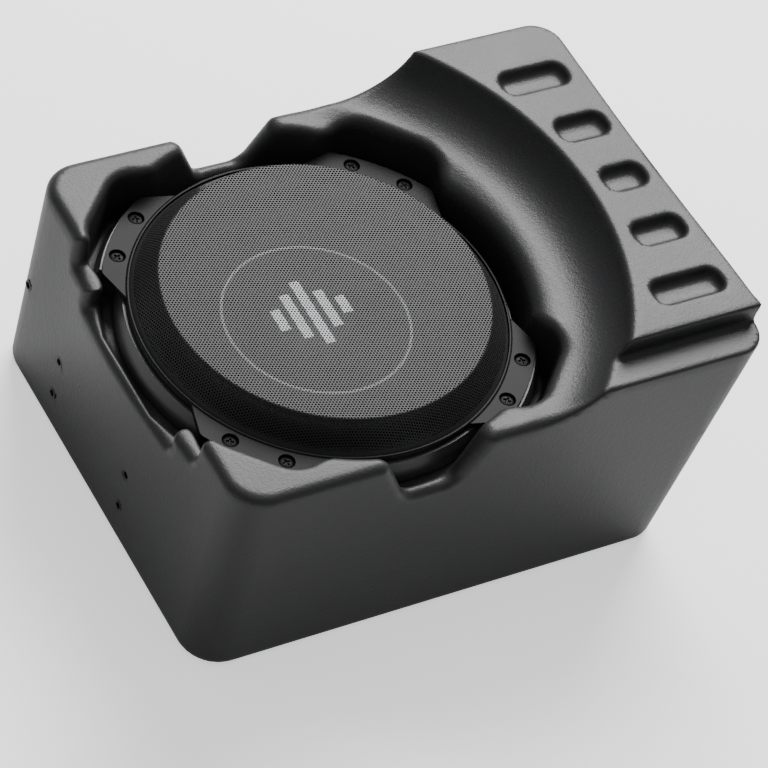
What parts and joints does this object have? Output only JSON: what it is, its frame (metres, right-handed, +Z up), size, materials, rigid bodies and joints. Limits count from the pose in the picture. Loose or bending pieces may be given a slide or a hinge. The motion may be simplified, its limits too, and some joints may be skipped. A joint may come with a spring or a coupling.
{
  "type": "powered car subwoofer",
  "caption": "Moulded car subwoofer box with a shallow driver under a perforated grille and a rear amplifier with level, low-pass and boost controls.",
  "frame": {"origin": "the middle of the box's plan, on its base", "axes": "+X from the plain left end to the raised plateau, +Y from the front wall to the rear wall with the amplifier, +Z up along the driver's axis"},
  "size_m": [0.372, 0.288, 0.1915],
  "materials": {
    "moulded_shell": "black rotomoulded polyethylene with a fine sand grain",
    "trim_moulding": "fine-grained black moulding",
    "cast_frame": "satin black coating",
    "grille_steel": "black powder-coated perforated sheet",
    "black_screw": "black oxide",
    "brass": "machined",
    "board_ring": "medium-density fibreboard",
    "foam": "closed-cell foam",
    "black_moulding": "moulded",
    "plated_contact": "bright plated contact",
    "surround_rubber": "smooth moulded rubber",
    "cone_paper": "mineral-filled polypropylene",
    "cap_paper": "moulded cap",
    "former_foil": "thin foil",
    "copper": "enamelled copper wire",
    "spider_cloth": "resin-stiffened cloth",
    "plated_steel": "zinc plated",
    "ferrite": "sintered ferrite",
    "anodised_panel": "black anodised",
    "circuit_board": "glass-epoxy board with green resist",
    "capacitor_sleeve": "sleeved can",
    "knob_moulding": "ribbed moulding",
    "switch_moulding": "light grey moulding",
    "lens": "clear light pipe",
    "socket_moulding": "white moulding",
    "fuse_moulding": "amber translucent body",
    "lead_jacket": "flexible jacket",
    "fibre": "polyester fibre"
  },
  "bodies": {
    "box": {"enclosure_shell": "moulded_shell", "bracket_inserts": "brass", "strap_insert": "brass", "mounting_ring": "board_ring", "ring_inserts": "brass", "driver_gasket": "foam", "basket": "cast_frame", "terminal_block": "black_moulding", "push_terminals": "plated_contact", "trim_ring": "trim_moulding", "trim_screws": "black_screw", "grille": "grille_steel", "surround": "surround_rubber", "spider": "spider_cloth", "top_plate": "plated_steel", "magnet": "ferrite", "back_plate": "plated_steel", "amp_gasket": "foam", "amp_panel": "anodised_panel", "amp_screws": "black_screw", "board_standoffs": "brass", "board_screws": "plated_steel", "panel_screws": "black_screw", "amp_board": "circuit_board", "capacitors": "capacitor_sleeve", "power_toroid": "copper", "output_coils": "ferrite", "power_devices": "black_moulding", "device_clamp": "plated_steel", "control_pots": "black_moulding", "phase_switch_body": "black_moulding", "led_lens": "lens", "rca_sockets": "plated_contact", "high_level_socket": "socket_moulding", "remote_socket": "black_moulding", "power_terminals": "black_moulding", "terminal_screws": "plated_contact", "fuse_holder": "black_moulding", "fuse": "fuse_moulding", "speaker_lead": "lead_jacket", "damping_fill": "fibre"},
    "cone_assembly": {"cone": "cone_paper", "dust_cap": "cap_paper", "coil_former": "former_foil", "voice_coil": "copper"},
    "gain_knob": {"gain_knob": "knob_moulding"},
    "low_pass_knob": {"low_pass_knob": "knob_moulding"},
    "bass_boost_knob": {"bass_boost_knob": "knob_moulding"},
    "phase_switch_slider": {"phase_switch_slider": "switch_moulding"}
  },
  "joints": [
    {"name": "cone_slide", "type": "slide", "parent": "box", "child": "cone_assembly", "axis": [0, 0, 1], "range_m": [-0.01, 0.01], "stiffness_N_per_m": 4000, "deforming": ["surround", "spider"]},
    {"name": "gain_turn", "type": "hinge", "parent": "box", "child": "gain_knob", "pos_m": [0.036, 0.1343, 0.097], "axis": [0, 1, 0], "range_deg": [-135, 135]},
    {"name": "low_pass_turn", "type": "hinge", "parent": "box", "child": "low_pass_knob", "pos_m": [0.054, 0.1343, 0.097], "axis": [0, 1, 0], "range_deg": [-135, 135]},
    {"name": "bass_boost_turn", "type": "hinge", "parent": "box", "child": "bass_boost_knob", "pos_m": [0.072, 0.1343, 0.097], "axis": [0, 1, 0], "range_deg": [-135, 135]},
    {"name": "phase_switch_slide", "type": "slide", "parent": "box", "child": "phase_switch_slider", "axis": [1, 0, 0], "range_m": [0, 0.0056]}
  ]
}
